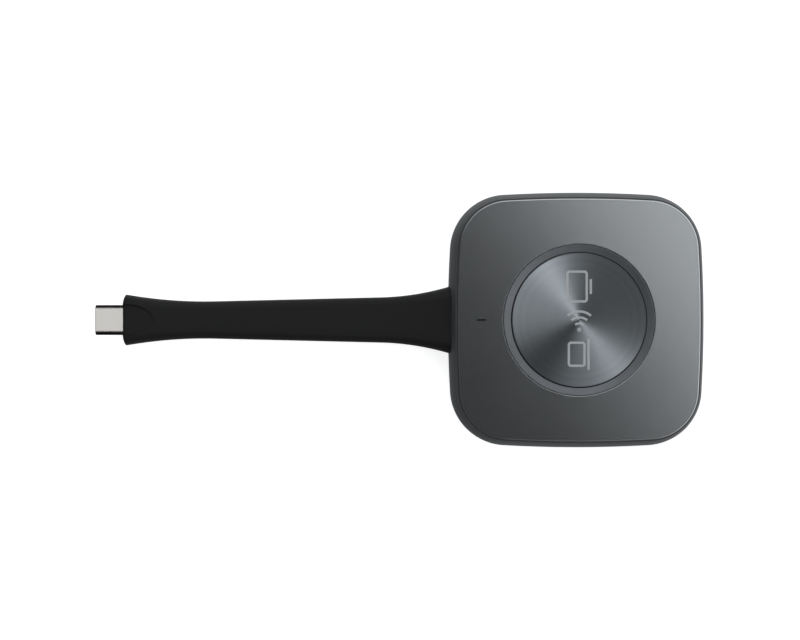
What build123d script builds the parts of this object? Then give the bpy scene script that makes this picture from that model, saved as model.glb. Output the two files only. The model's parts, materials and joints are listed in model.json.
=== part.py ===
from build123d import *
from math import atan2, cos, degrees, pi, radians, sin, sqrt
import os

# A wireless screen-sharing puck: a rounded-square housing with a large round push button in its top
# plate, and a moulded strap that ends in a USB-C plug. Millimetres. The origin is the middle of the
# foot's underside, +Z is up, and the strap leaves the housing towards -X.

# ---- driving dimensions: housing outline, seen from above
SIDE_HALF = 35.0            # middle of a side, from the centre
SIDE_BOW = 350.0            # radius of the slightly bowed sides
CORNER_RADIUS = 15.5
CORNER_CENTRE = (sqrt(2 * (SIDE_BOW - CORNER_RADIUS) ** 2 - (SIDE_BOW - SIDE_HALF) ** 2)
                 - (SIDE_BOW - SIDE_HALF)) / 2

# ---- driving dimensions: housing profile, seen from the side
BELLY_Z = 5.5               # height of the widest outline
UPPER_SIDE_RADIUS = 20.4    # wall profile above the belly
LOWER_SIDE_RADIUS = 7.3     # wall profile below the belly
LOWER_SIDE_TURN = 33.4      # degrees of that arc
BOTTOM_EDGE_RADIUS = 2.0
SPLIT_Z = 12.6              # parting line between lower shell and upper frame
RIM_Z = 13.95               # top of the frame's outer rim
DECK_Z = 14.1               # top of the frame's deck, under the plate's film
PLATE_Z = 14.2              # underside of the metal plate
TOP_Z = 15.0                # top of the metal plate
WALL_IN = 3.0               # inside face of the wall, in from the outline
FLOOR_Z = 2.2               # inside face of the floor
FILM = 0.1                  # bonding films

# ---- driving dimensions: plate, light ring and button
PLATE_INSET = 2.35
PLATE_CHAMFER = 0.22
WELL_RADIUS = 20.42         # round opening in the plate and the frame
RING_OUTER = 20.3
RING_TOP_Z = 14.9
RING_LOW_RADIUS = 18.35     # where the cone meets the button's gap
RING_LOW_Z = 14.6
RING_LIP_UNDER_Z = 13.0     # the flange of the button's carrier stops here
RING_FOOT_Z = 11.2
CAP_RADIUS = 18.1
CAP_THICK = 1.2
CARRIER_FLANGE = 19.35
CARRIER_BOSS = 17.6
TRAVEL = 0.5                # button travel
POST_CIRCLE = 12.0          # guide posts and springs
POST_ANGLES = (30, 150, 270)
POST_RADIUS = 1.5
SPRING_WIRE = 0.4
SPRING_RADIUS = 2.0
SPRING_TURNS = 2.5
STEM_RADIUS = 2.5
BRACKET_RADIUS = 20.3
BRACKET_Z = 8.6
BRACKET_THICK = 0.9
EAR_ANGLES = (90, 210, 330)
EAR_CIRCLE = 25.0
RING_BOARD_Z = 9.6
RING_BOARD_THICK = 0.8
LED_COUNT = 12
LED_CIRCLE = 19.2

# ---- driving dimensions: indicator slot
SLOT_X = -26.3
SLOT_LONG = 2.6
SLOT_WIDE = 0.5

# ---- driving dimensions: main board and what stands on it
BOARD_Z = 5.0
BOARD_TOP = 6.0
BOARD_LEFT = -21.0
BOARD_RIGHT = 27.0
BOARD_HALF = 27.0
CASE_SCREW = 23.0           # case screws stand at plus and minus this in X and Y
STANDOFFS = ((-16, -15), (-16, 15), (22, -15), (22, 15))
SWITCH_SIDE = 6.2
SWITCH_TOP = 8.4

# ---- driving dimensions: strap and plug
STRAP_Z = 7.2               # height of the strap's centreline
STRAP_ROOT = 35.0           # distance from the puck's centre where the strap meets the wall
STRAP_END = 123.6           # front corners of the boot
STRAP_NOSE = 0.8            # how far the boot's front bulges
WAIST_WIDTH = 13.25         # straight taper, carried back to the root
WAIST_TAPER = 0.0477        # loss of width for each millimetre of length
ROOT_FLARE, ROOT_FLARE_LONG = 4.9, 18.5
TIP_FLARE, TIP_FLARE_LONG = 5.0, 24.8
WAIST_THICK = 4.6
ROOT_THICKEN = 2.4
TIP_THICKEN = 2.2
STRAP_STATIONS = 14
FLANGE_OUT, FLANGE_IN = 31.7, 29.7
CABLE_RADIUS = 1.4
CABLE_START = 21.4
CABLE_END = 112.0
CORE_FROM, CORE_TO = 110.0, 122.4
PLUG_WIDE, PLUG_HIGH = 8.25, 2.4
PLUG_TIP = 131.6
PLUG_WALL = 0.2
TONGUE_WIDE, TONGUE_HIGH, TONGUE_DEEP = 6.9, 1.0, 5.6

os.makedirs("parts", exist_ok=True)


def write(node, name):
    """Label a finished piece and write its STEP."""
    node.part.label = name
    export_step(node.part, f"parts/{name}.step")


def polar(radius, angle):
    """A point on a circle round the Z axis."""
    return radius * cos(radians(angle)), radius * sin(radians(angle))


def outline(inset):
    """The housing's outline, moved inwards by inset: four bowed sides and four round corners."""
    reach = CORNER_CENTRE + SIDE_BOW - SIDE_HALF
    half_side = degrees(atan2(CORNER_CENTRE, reach))
    for quarter in range(4):
        turn = 90 * quarter
        side_middle = polar(SIDE_HALF - SIDE_BOW, turn)
        corner_middle = polar(CORNER_CENTRE * sqrt(2), turn + 45)
        CenterArc(side_middle, SIDE_BOW - inset, turn - half_side, 2 * half_side)
        CenterArc(corner_middle, CORNER_RADIUS - inset, turn + half_side, 90 - 2 * half_side)


def wall_inset(z):
    """How far the wall's outside stands in from the outline at a height above the belly."""
    return UPPER_SIDE_RADIUS - sqrt(UPPER_SIDE_RADIUS ** 2 - (z - BELLY_Z) ** 2)


def strap_width(x):
    """Width of the strap at a distance x from the puck's centre: a straight taper and two flares."""
    from_root = x - STRAP_ROOT
    root = ROOT_FLARE * max(0.0, 1 - from_root / ROOT_FLARE_LONG) ** 2
    tip = TIP_FLARE * max(0.0, 1 - (STRAP_END - x) / TIP_FLARE_LONG) ** 2
    return WAIST_WIDTH - WAIST_TAPER * from_root + root + tip


def strap_thick(x):
    """Thickness of the strap at a distance x from the puck's centre."""
    root = ROOT_THICKEN * max(0.0, 1 - (x - STRAP_ROOT) / ROOT_FLARE_LONG) ** 2
    tip = TIP_THICKEN * max(0.0, 1 - (STRAP_END - x) / TIP_FLARE_LONG) ** 2
    return WAIST_THICK + root + tip


# =====================================================================
# Housing
# =====================================================================

# The outline as a path. The section of a wall, drawn as inset from the outline and height, is swept
# round it.
with BuildLine(Plane.XY) as outline_path:
    outline(0)

section_plane = Plane(origin=(SIDE_HALF, 0, 0), x_dir=(-1, 0, 0), z_dir=(0, 1, 0))


# ---- lower shell: swept wall, flat floor, bosses, screw holes and the strap's window
lower_turn = radians(LOWER_SIDE_TURN)
lower_end = (LOWER_SIDE_RADIUS * (1 - cos(lower_turn)), BELLY_Z - LOWER_SIDE_RADIUS * sin(lower_turn))
edge_centre = (lower_end[0] + BOTTOM_EDGE_RADIUS * cos(lower_turn),
               lower_end[1] + BOTTOM_EDGE_RADIUS * sin(lower_turn))
edge_mid_angle = (lower_turn + pi / 2) / 2
edge_mid = (edge_centre[0] - BOTTOM_EDGE_RADIUS * cos(edge_mid_angle),
            edge_centre[1] - BOTTOM_EDGE_RADIUS * sin(edge_mid_angle))
shell_base = (edge_centre[0], edge_centre[1] - BOTTOM_EDGE_RADIUS)
SHELL_UNDER = shell_base[1]
lower_mid_in = LOWER_SIDE_RADIUS * (1 - cos(lower_turn / 2))
lower_mid_down = LOWER_SIDE_RADIUS * sin(lower_turn / 2)
lower_mid = (lower_mid_in, BELLY_Z - lower_mid_down)
upper_mid_z = (BELLY_Z + SPLIT_Z) / 2
FLOOR_JOIN = 6.0

with BuildPart() as lower_shell:
    with BuildSketch(section_plane):
        with BuildLine():
            Line((FLOOR_JOIN, SHELL_UNDER), shell_base)
            ThreePointArc(shell_base, edge_mid, lower_end)
            ThreePointArc(lower_end, lower_mid, (0, BELLY_Z))
            ThreePointArc((0, BELLY_Z), (wall_inset(upper_mid_z), upper_mid_z),
                          (wall_inset(SPLIT_Z), SPLIT_Z))
            Polyline((wall_inset(SPLIT_Z), SPLIT_Z), (WALL_IN, SPLIT_Z),
                     (WALL_IN, FLOOR_Z + 0.8), (WALL_IN + 0.8, FLOOR_Z),
                     (FLOOR_JOIN, FLOOR_Z), (FLOOR_JOIN, SHELL_UNDER))
        make_face()
    sweep(path=outline_path.wire())
    with BuildSketch(Plane.XY.offset(SHELL_UNDER)):
        with BuildLine():
            outline(FLOOR_JOIN - 0.1)
        make_face()
    extrude(amount=FLOOR_Z - SHELL_UNDER)
    # screw bosses and board standoffs
    with BuildSketch(Plane.XY.offset(FLOOR_Z - 0.2)):
        with GridLocations(2 * CASE_SCREW, 2 * CASE_SCREW, 2, 2):
            Circle(3.1)
    extrude(amount=6.6 - FLOOR_Z + 0.2)
    with BuildSketch(Plane.XY.offset(FLOOR_Z - 0.2)):
        with Locations(*STANDOFFS):
            Circle(2.1)
    extrude(amount=BOARD_Z - FLOOR_Z + 0.2)
    # bosses of the strap clamp
    with BuildSketch(Plane.XY.offset(FLOOR_Z - 0.2)):
        with Locations((-27, -9), (-27, 9)):
            Circle(2.0)
    extrude(amount=4.2 - FLOOR_Z + 0.2)
    # recess for the foot
    with BuildSketch(Plane.XY.offset(SHELL_UNDER)):
        with BuildLine():
            outline(5.1)
        make_face()
    extrude(amount=0.5, mode=Mode.SUBTRACT)
    # case screws: counterbore from below and through hole
    with BuildSketch(Plane.XY):
        with GridLocations(2 * CASE_SCREW, 2 * CASE_SCREW, 2, 2):
            Circle(2.1)
    extrude(amount=3.4, mode=Mode.SUBTRACT)
    with BuildSketch(Plane.XY):
        with GridLocations(2 * CASE_SCREW, 2 * CASE_SCREW, 2, 2):
            Circle(1.15)
    extrude(amount=8, mode=Mode.SUBTRACT)
    # pilot holes of the board and clamp screws
    with BuildSketch(Plane.XY.offset(2.4)):
        with Locations(*STANDOFFS):
            Circle(0.85)
        with Locations((-27, -9), (-27, 9)):
            Circle(0.85)
    extrude(amount=4, mode=Mode.SUBTRACT)
    # window for the strap
    with BuildSketch(Plane.YZ.offset(-SIDE_HALF - 1)):
        with Locations((0, STRAP_Z)):
            RectangleRounded(strap_width(STRAP_ROOT) + 0.4, strap_thick(STRAP_ROOT) + 0.4, 3.1)
    extrude(amount=6, mode=Mode.SUBTRACT)
write(lower_shell, "lower_shell")

# ---- upper frame: rim, deck, skirt inside the lower shell, collar round the well, posts and ears
DECK_UNDER = 12.9
SKIRT_IN = WALL_IN + 0.1
COLLAR_RADIUS = 21.9
EAR_UNDER = BRACKET_Z + BRACKET_THICK + 0.05
with BuildPart() as upper_frame:
    rim_mid_z = (SPLIT_Z + 0.05 + RIM_Z) / 2
    with BuildSketch(section_plane):
        with BuildLine():
            ThreePointArc((wall_inset(SPLIT_Z + 0.05), SPLIT_Z + 0.05),
                          (wall_inset(rim_mid_z), rim_mid_z), (wall_inset(RIM_Z), RIM_Z))
            Polyline((wall_inset(RIM_Z), RIM_Z), (PLATE_INSET + 0.45, RIM_Z),
                     (PLATE_INSET + 0.45, DECK_Z), (FLOOR_JOIN, DECK_Z),
                     (FLOOR_JOIN, DECK_UNDER), (SKIRT_IN + 1.2, DECK_UNDER),
                     (SKIRT_IN + 1.2, SPLIT_Z - 1.1), (SKIRT_IN, SPLIT_Z - 1.1),
                     (SKIRT_IN, SPLIT_Z + 0.05), (wall_inset(SPLIT_Z + 0.05), SPLIT_Z + 0.05))
        make_face()
    sweep(path=outline_path.wire())
    with BuildSketch(Plane.XY.offset(DECK_UNDER)):
        with BuildLine():
            outline(FLOOR_JOIN - 0.1)
        make_face()
    extrude(amount=DECK_Z - DECK_UNDER)
    # collar round the light ring, down to the bracket
    with BuildSketch(Plane.XY.offset(EAR_UNDER)):
        Circle(COLLAR_RADIUS)
        with Locations(*[polar(EAR_CIRCLE, a) for a in EAR_ANGLES]):
            Circle(2.3)
    extrude(amount=DECK_Z - EAR_UNDER)
    with BuildSketch(Plane.XY.offset(6.7)):
        with GridLocations(2 * CASE_SCREW, 2 * CASE_SCREW, 2, 2):
            Circle(2.6)
    extrude(amount=DECK_Z - 6.7)
    with BuildSketch(Plane.XY.offset(6)):
        Circle(WELL_RADIUS)
    extrude(amount=10, mode=Mode.SUBTRACT)
    # pilot holes
    with BuildSketch(Plane.XY.offset(6)):
        with GridLocations(2 * CASE_SCREW, 2 * CASE_SCREW, 2, 2):
            Circle(0.9)
        with Locations(*[polar(EAR_CIRCLE, a) for a in EAR_ANGLES]):
            Circle(0.8)
    extrude(amount=6.4, mode=Mode.SUBTRACT)
    # light path of the indicator
    with BuildSketch(Plane.XY.offset(DECK_UNDER - 1)):
        with Locations((SLOT_X, 0)):
            SlotOverall(SLOT_LONG + 0.2, SLOT_WIDE + 0.3)
    extrude(amount=4, mode=Mode.SUBTRACT)
write(upper_frame, "upper_frame")

# ---- metal plate with its cut chamfers, and the film under it
with BuildPart() as top_plate:
    with BuildSketch(Plane.XY.offset(PLATE_Z)):
        with BuildLine():
            outline(PLATE_INSET)
        make_face()
        Circle(WELL_RADIUS, mode=Mode.SUBTRACT)
    extrude(amount=TOP_Z - PLATE_Z)
    chamfer(top_plate.faces().sort_by(Axis.Z)[-1].edges(), PLATE_CHAMFER)
    with BuildSketch(Plane.XY.offset(PLATE_Z - 1)):
        with Locations((SLOT_X, 0)):
            SlotOverall(SLOT_LONG, SLOT_WIDE)
    extrude(amount=3, mode=Mode.SUBTRACT)
write(top_plate, "top_plate")

with BuildPart() as plate_adhesive:
    with BuildSketch(Plane.XY.offset(DECK_Z)):
        with BuildLine():
            outline(PLATE_INSET + 0.9)
        make_face()
        Circle(WELL_RADIUS + 0.8, mode=Mode.SUBTRACT)
        with Locations((SLOT_X, 0)):
            SlotOverall(SLOT_LONG + 1.2, SLOT_WIDE + 1.2, mode=Mode.SUBTRACT)
    extrude(amount=PLATE_Z - DECK_Z)
write(plate_adhesive, "plate_adhesive")

# ---- foot
FOOT_TOP = SHELL_UNDER + 0.5 - FILM
with BuildPart() as foot_pad:
    with BuildSketch(Plane.XY):
        with BuildLine():
            outline(5.25)
        make_face()
    extrude(amount=FOOT_TOP)
    fillet(foot_pad.faces().sort_by(Axis.Z)[0].edges(), 0.3)
write(foot_pad, "foot_pad")

with BuildPart() as pad_adhesive:
    with BuildSketch(Plane.XY.offset(FOOT_TOP)):
        with BuildLine():
            outline(5.9)
        make_face()
        with GridLocations(2 * CASE_SCREW, 2 * CASE_SCREW, 2, 2):
            Circle(2.6, mode=Mode.SUBTRACT)
    extrude(amount=FILM)
write(pad_adhesive, "pad_adhesive")


def screws(name, places, seat, head_radius, head_high, shank_radius, shank_long, up=False):
    """Pan-head screws as one group: the head above its seat, the shank below it; up turns them over."""
    way = -1 if up else 1
    with BuildPart() as group:
        with BuildSketch(Plane.XY.offset(seat)):
            with Locations(*places):
                Circle(head_radius)
        extrude(amount=way * head_high)
        fillet(group.edges().filter_by(GeomType.CIRCLE).group_by(Axis.Z)[0 if up else -1], 0.3 * head_high)
        with BuildSketch(Plane.XY.offset(seat)):
            with Locations(*places):
                Circle(shank_radius)
        extrude(amount=-way * shank_long)
        with BuildSketch(Plane.XY.offset(seat + way * head_high)):
            with Locations(*places):
                Rectangle(head_radius * 1.1, 0.35)
                Rectangle(0.35, head_radius * 1.1)
        extrude(amount=-way * head_high * 0.6, mode=Mode.SUBTRACT)
    write(group, name)


case_places = [(sx * CASE_SCREW, sy * CASE_SCREW) for sx in (-1, 1) for sy in (-1, 1)]
screws("case_screws", case_places, 3.4, 1.9, 1.2, 0.88, 7.0, up=True)
screws("board_screws", STANDOFFS, BOARD_TOP, 1.5, 0.9, 0.83, 3.4)

# =====================================================================
# Light ring, button and bracket
# =====================================================================

with BuildPart() as light_ring:
    with BuildSketch(Plane.XZ):
        with BuildLine():
            Polyline((RING_OUTER, RING_FOOT_Z), (RING_OUTER, RING_TOP_Z), (RING_OUTER - 0.15, RING_TOP_Z),
                     (RING_LOW_RADIUS, RING_LOW_Z), (RING_LOW_RADIUS, RING_LIP_UNDER_Z),
                     (RING_LOW_RADIUS + 1.25, RING_LIP_UNDER_Z), (RING_LOW_RADIUS + 1.25, RING_FOOT_Z),
                     close=True)
        make_face()
    revolve(axis=Axis.Z)
write(light_ring, "light_ring")

with BuildPart() as button_cap:
    with BuildSketch(Plane.XY.offset(TOP_Z - CAP_THICK)):
        Circle(CAP_RADIUS)
    extrude(amount=CAP_THICK)
    chamfer(button_cap.edges().sort_by(Axis.Z)[-1], 0.18)
write(button_cap, "button_cap")

CARRIER_TOP = TOP_Z - CAP_THICK - FILM
with BuildPart() as cap_adhesive:
    with BuildSketch(Plane.XY.offset(CARRIER_TOP)):
        Circle(CARRIER_BOSS - 0.6)
    extrude(amount=FILM)
write(cap_adhesive, "cap_adhesive")

FLANGE_TOP = RING_LIP_UNDER_Z - 0.05
CARRIER_UNDER = 12.0
PLUNGER_TOP = 9.3
posts = [polar(POST_CIRCLE, a) for a in POST_ANGLES]
ears = [polar(EAR_CIRCLE, a) for a in EAR_ANGLES]
with BuildPart() as button_carrier:
    with BuildSketch(Plane.XY.offset(CARRIER_UNDER)):
        Circle(CARRIER_FLANGE)
    extrude(amount=FLANGE_TOP - CARRIER_UNDER)
    with BuildSketch(Plane.XY.offset(CARRIER_UNDER)):
        Circle(CARRIER_BOSS)
    extrude(amount=CARRIER_TOP - CARRIER_UNDER)
    with BuildSketch(Plane.XY.offset(CARRIER_UNDER)):
        Circle(STEM_RADIUS)
    extrude(amount=PLUNGER_TOP + 0.05 - CARRIER_UNDER)
    with BuildSketch(Plane.XY.offset(CARRIER_UNDER)):
        with Locations(*posts):
            Circle(POST_RADIUS)
    extrude(amount=BRACKET_Z + 0.1 - CARRIER_UNDER)
write(button_carrier, "button_carrier")

# springs between the bracket and the carrier, one on each post
BRACKET_TOP = BRACKET_Z + BRACKET_THICK
spring_base = BRACKET_TOP + SPRING_WIRE / 2 + 0.03
spring_high = CARRIER_UNDER - BRACKET_TOP - SPRING_WIRE - 0.06
with BuildPart() as return_springs:
    for place in posts:
        spring_line = Helix(spring_high / SPRING_TURNS, spring_high, SPRING_RADIUS,
                            center=(place[0], place[1], spring_base), mode=Mode.PRIVATE)
        with BuildSketch(Plane(origin=spring_line @ 0, z_dir=spring_line % 0)):
            Circle(SPRING_WIRE / 2)
        sweep(path=spring_line, is_frenet=True)
write(return_springs, "return_springs")

with BuildPart() as button_bracket:
    with BuildSketch(Plane.XY.offset(BRACKET_Z)):
        Circle(BRACKET_RADIUS)
        for angle in EAR_ANGLES:
            with Locations(Location(polar((BRACKET_RADIUS + EAR_CIRCLE) / 2 - 1, angle), angle)):
                Rectangle(EAR_CIRCLE - BRACKET_RADIUS + 2, 4.6)
        with Locations(*ears):
            Circle(2.3)
        Circle(STEM_RADIUS + 0.6, mode=Mode.SUBTRACT)
        with Locations(*posts):
            Circle(POST_RADIUS + 0.06, mode=Mode.SUBTRACT)
        with Locations(*ears):
            Circle(1.0, mode=Mode.SUBTRACT)
        with Locations((0, -18.6)):
            Rectangle(6.6, 0.7, mode=Mode.SUBTRACT)
    extrude(amount=BRACKET_THICK)
write(button_bracket, "button_bracket")

screws("bracket_screws", ears, BRACKET_Z, 1.5, 0.55, 0.78, 3.6, up=True)

with BuildPart() as ring_board:
    with BuildSketch(Plane.XY.offset(RING_BOARD_Z)):
        Circle(RING_OUTER - 0.1)
        Circle(16.4, mode=Mode.SUBTRACT)
    extrude(amount=RING_BOARD_THICK)
write(ring_board, "ring_board")

RING_BOARD_TOP = RING_BOARD_Z + RING_BOARD_THICK
with BuildPart() as ring_leds:
    with BuildSketch(Plane.XY.offset(RING_BOARD_TOP)):
        with PolarLocations(LED_CIRCLE, LED_COUNT):
            Rectangle(1.2, 1.6)
    extrude(amount=0.6)
write(ring_leds, "ring_leds")

with BuildPart() as led_connector:
    with BuildSketch(Plane.XY.offset(BOARD_TOP)):
        with Locations((0, -18.6)):
            Rectangle(7.4, 2.4)
            Rectangle(6.4, 0.4, mode=Mode.SUBTRACT)
    extrude(amount=1.4)
write(led_connector, "led_connector")

with BuildPart() as led_flex:
    with BuildSketch(Plane.XY.offset(BOARD_TOP + 0.3)):
        with Locations((0, -18.6)):
            Rectangle(6.0, 0.15)
    extrude(amount=RING_BOARD_Z - BOARD_TOP - 0.3)
write(led_flex, "led_flex")

# ---- indicator: lens in the slot, its small board, light and flex
INDICATOR_Z = 11.0
with BuildPart() as indicator_lens:
    with BuildSketch(Plane.XY.offset(INDICATOR_Z + 1.2)):
        with Locations((SLOT_X, 0)):
            SlotOverall(SLOT_LONG - 0.08, SLOT_WIDE - 0.06)
    extrude(amount=TOP_Z - 0.08 - INDICATOR_Z - 1.2)
write(indicator_lens, "indicator_lens")

with BuildPart() as indicator_board:
    with BuildSketch(Plane.XY.offset(INDICATOR_Z)):
        with Locations((-26.0, 3.2)):
            Rectangle(5.6, 11.0)
    extrude(amount=0.5)
write(indicator_board, "indicator_board")

with BuildPart() as indicator_led:
    with BuildSketch(Plane.XY.offset(INDICATOR_Z + 0.5)):
        with Locations((SLOT_X, 0)):
            Rectangle(1.6, 0.8)
    extrude(amount=0.6)
write(indicator_led, "indicator_led")

with BuildPart() as indicator_flex:
    with BuildSketch(Plane.XZ.offset(-8)):
        with BuildLine():
            Polyline((-23.0, INDICATOR_Z - 0.02), (-23.0, INDICATOR_Z - 0.17), (-22.75, INDICATOR_Z - 0.17),
                     (-22.75, BOARD_TOP + 0.02), (-19.5, BOARD_TOP + 0.02), (-19.5, BOARD_TOP + 0.17),
                     (-22.6, BOARD_TOP + 0.17), (-22.6, INDICATOR_Z - 0.02), close=True)
        make_face()
    extrude(amount=2.5)
write(indicator_flex, "indicator_flex")

# =====================================================================
# Electronics
# =====================================================================

with BuildPart() as main_board:
    with BuildSketch(Plane.XY.offset(BOARD_Z)):
        with Locations(((BOARD_LEFT + BOARD_RIGHT) / 2, 0)):
            Rectangle(BOARD_RIGHT - BOARD_LEFT, 2 * BOARD_HALF)
        with GridLocations(2 * BOARD_HALF, 2 * BOARD_HALF, 2, 2):
            RectangleRounded(17, 17, 1.5, mode=Mode.SUBTRACT)
        with Locations(*STANDOFFS):
            Circle(0.95, mode=Mode.SUBTRACT)
    extrude(amount=BOARD_TOP - BOARD_Z)
write(main_board, "main_board")


def block(name, x, y, z, long, wide, high, edge=0.0):
    """A flat package on a board: its middle in X and Y, its underside in Z, and its size."""
    with BuildPart() as package:
        with BuildSketch(Plane.XY.offset(z)):
            with Locations((x, y)):
                Rectangle(long, wide)
        extrude(amount=high)
        if edge:
            chamfer(package.faces().sort_by(Axis.Z)[-1].edges(), edge)
    write(package, name)


block("heat_spreader", 4, 0, FLOOR_Z, 28, 22, 0.5)
block("thermal_pad", 4, 0, FLOOR_Z + 0.5, 14, 14, 1.3)
block("processor", 4, 0, FLOOR_Z + 1.8, 14, 14, 1.0)
block("memory_chip", 12, -8, BOARD_TOP, 8, 10, 1.0, 0.15)
block("power_chip", 12, -1.2, BOARD_TOP, 4, 3, 0.8, 0.1)
block("wifi_module", 13, 9.5, BOARD_TOP, 12, 13, 2.1, 0.3)

with BuildPart() as shield_can:
    with BuildSketch(Plane.XY.offset(BOARD_TOP)):
        with Locations((12, -6.6)):
            Rectangle(14, 15)
    extrude(amount=2.2)
    fillet(shield_can.edges().filter_by(Axis.Z), 0.6)
    offset(amount=-0.2, openings=shield_can.faces().sort_by(Axis.Z)[0])
write(shield_can, "shield_can")

with BuildPart() as inductors:
    with BuildSketch(Plane.XY.offset(BOARD_TOP)):
        with Locations((-8, -8)):
            with GridLocations(0, 3.4, 1, 3):
                RectangleRounded(3.0, 2.6, 0.4)
    extrude(amount=1.4)
write(inductors, "inductors")

with BuildPart() as capacitors:
    with BuildSketch(Plane.XY.offset(BOARD_TOP)):
        with Locations((-9, 9)):
            with GridLocations(2.2, 1.6, 4, 4):
                Rectangle(1.0, 0.6)
    extrude(amount=0.55)
write(capacitors, "capacitors")


def antenna(name, plane):
    """A stamped antenna: a foot on the board, a leg and a folded top with a slot cut in it."""
    with BuildPart() as stamped:
        with BuildSketch(plane):
            with BuildLine():
                Polyline((0, BOARD_TOP), (2.0, BOARD_TOP), (2.0, BOARD_TOP + 0.3), (0.3, BOARD_TOP + 0.3),
                         (0.3, 9.7), (3.0, 9.7), (3.0, 10.0), (0, 10.0), close=True)
            make_face()
        extrude(amount=12)
        with BuildSketch(plane.offset(3)):
            with Locations((0, 8)):
                Rectangle(1, 2.4)
        extrude(amount=6.5, mode=Mode.SUBTRACT)
    write(stamped, name)


antenna("antenna_side", Plane(origin=(26.6, 3, 0), x_dir=(-1, 0, 0), z_dir=(0, 1, 0)))
antenna("antenna_rear", Plane(origin=(17, 26.6, 0), x_dir=(0, -1, 0), z_dir=(-1, 0, 0)))

# ---- tact switch
with BuildPart() as switch_base:
    with BuildSketch(Plane.XY.offset(BOARD_TOP)):
        Rectangle(SWITCH_SIDE, SWITCH_SIDE)
    extrude(amount=SWITCH_TOP - 0.2 - BOARD_TOP)
    with BuildSketch(Plane.XY.offset(7.15)):
        Circle(2.4)
    extrude(amount=2, mode=Mode.SUBTRACT)
write(switch_base, "switch_base")

with BuildPart() as switch_cover:
    with BuildSketch(Plane.XY.offset(SWITCH_TOP - 0.2)):
        Rectangle(SWITCH_SIDE, SWITCH_SIDE)
        Circle(1.56, mode=Mode.SUBTRACT)
    extrude(amount=0.2)
write(switch_cover, "switch_cover")

with BuildPart() as switch_plunger:
    with BuildSketch(Plane.XY.offset(7.9)):
        Circle(1.5)
    extrude(amount=PLUNGER_TOP - 7.9)
write(switch_plunger, "switch_plunger")

DOME_RADIUS, DOME_TURN, DOME_THICK = 4.33, 30.5, 0.1
with BuildPart() as switch_dome:
    with BuildSketch(Plane.XZ):
        with BuildLine():
            dome_centre = (0, 7.85 - DOME_RADIUS)
            dome_outer = CenterArc(dome_centre, DOME_RADIUS, 90, -DOME_TURN)
            dome_inner = CenterArc(dome_centre, DOME_RADIUS - DOME_THICK, 90, -DOME_TURN)
            Line(dome_outer @ 0, dome_inner @ 0)
            Line(dome_outer @ 1, dome_inner @ 1)
        make_face()
    revolve(axis=Axis.Z)
write(switch_dome, "switch_dome")

# =====================================================================
# Strap and its clamp
# =====================================================================

along = [STRAP_ROOT + (STRAP_END - STRAP_ROOT) * i / (STRAP_STATIONS - 1) for i in range(STRAP_STATIONS)]
with BuildPart() as strap:
    for x in along:
        with BuildSketch(Plane.YZ.offset(-x)):
            with Locations((0, STRAP_Z)):
                RectangleRounded(strap_width(x), strap_thick(x), 0.42 * strap_thick(x))
    loft()
    # bulged front of the boot
    with BuildSketch(Plane.XY.offset(STRAP_Z)):
        with BuildLine():
            half_front = strap_width(STRAP_END) / 2 - 0.6
            front = ThreePointArc((-STRAP_END, half_front), (-STRAP_END - STRAP_NOSE, 0),
                                  (-STRAP_END, -half_front))
            Line(front @ 1, front @ 0)
        make_face()
    extrude(amount=strap_thick(STRAP_END) / 2 - 0.9, both=True)
    # root through the window, and the flange behind the wall
    with BuildSketch(Plane.YZ.offset(-STRAP_ROOT)):
        with Locations((0, STRAP_Z)):
            RectangleRounded(strap_width(STRAP_ROOT), strap_thick(STRAP_ROOT), 2.9)
    extrude(amount=STRAP_ROOT - FLANGE_IN)
    with BuildSketch(Plane.YZ.offset(-FLANGE_OUT)):
        with Locations((0, STRAP_Z)):
            RectangleRounded(21.5, 7.6, 2.0)
    extrude(amount=FLANGE_OUT - FLANGE_IN)
    # bore for the lead, pocket for the plug's core, opening for the plug's shell
    with BuildSketch(Plane.YZ.offset(-CORE_FROM - 1)):
        with Locations((0, STRAP_Z)):
            Circle(CABLE_RADIUS + 0.05)
    extrude(amount=CORE_FROM, mode=Mode.SUBTRACT)
    with BuildSketch(Plane.YZ.offset(-CORE_TO)):
        with Locations((0, STRAP_Z)):
            RectangleRounded(9.6, 4.4, 1.2)
    extrude(amount=CORE_TO - CORE_FROM, mode=Mode.SUBTRACT)
    with BuildSketch(Plane.YZ.offset(-CORE_TO)):
        with Locations((0, STRAP_Z)):
            SlotOverall(PLUG_WIDE + 0.06, PLUG_HIGH + 0.06)
    extrude(amount=-5, mode=Mode.SUBTRACT)
write(strap, "strap")

with BuildPart() as inner_cable:
    with BuildSketch(Plane.YZ.offset(-CABLE_END)):
        with Locations((0, STRAP_Z)):
            Circle(CABLE_RADIUS)
    extrude(amount=CABLE_END - CABLE_START)
write(inner_cable, "inner_cable")

with BuildPart() as strap_clamp:
    with BuildSketch(Plane.XY.offset(4.25)):
        with Locations((-27, 0)):
            Rectangle(4.8, 22)
    extrude(amount=6.15)
    fillet(strap_clamp.edges().filter_by(Axis.Z), 0.8)
    with BuildSketch(Plane.XY.offset(8)):
        with Locations((-27, -9), (-27, 9)):
            Circle(1.8)
    extrude(amount=4, mode=Mode.SUBTRACT)
    with BuildSketch(Plane.XY.offset(4)):
        with Locations((-27, -9), (-27, 9)):
            Circle(1.0)
    extrude(amount=5, mode=Mode.SUBTRACT)
    with BuildSketch(Plane.YZ.offset(-31)):
        with Locations((0, STRAP_Z)):
            Circle(CABLE_RADIUS + 0.1)
    extrude(amount=8, mode=Mode.SUBTRACT)
write(strap_clamp, "strap_clamp")

screws("clamp_screws", [(-27, -9), (-27, 9)], 8.0, 1.6, 1.0, 0.83, 5.4)

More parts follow.
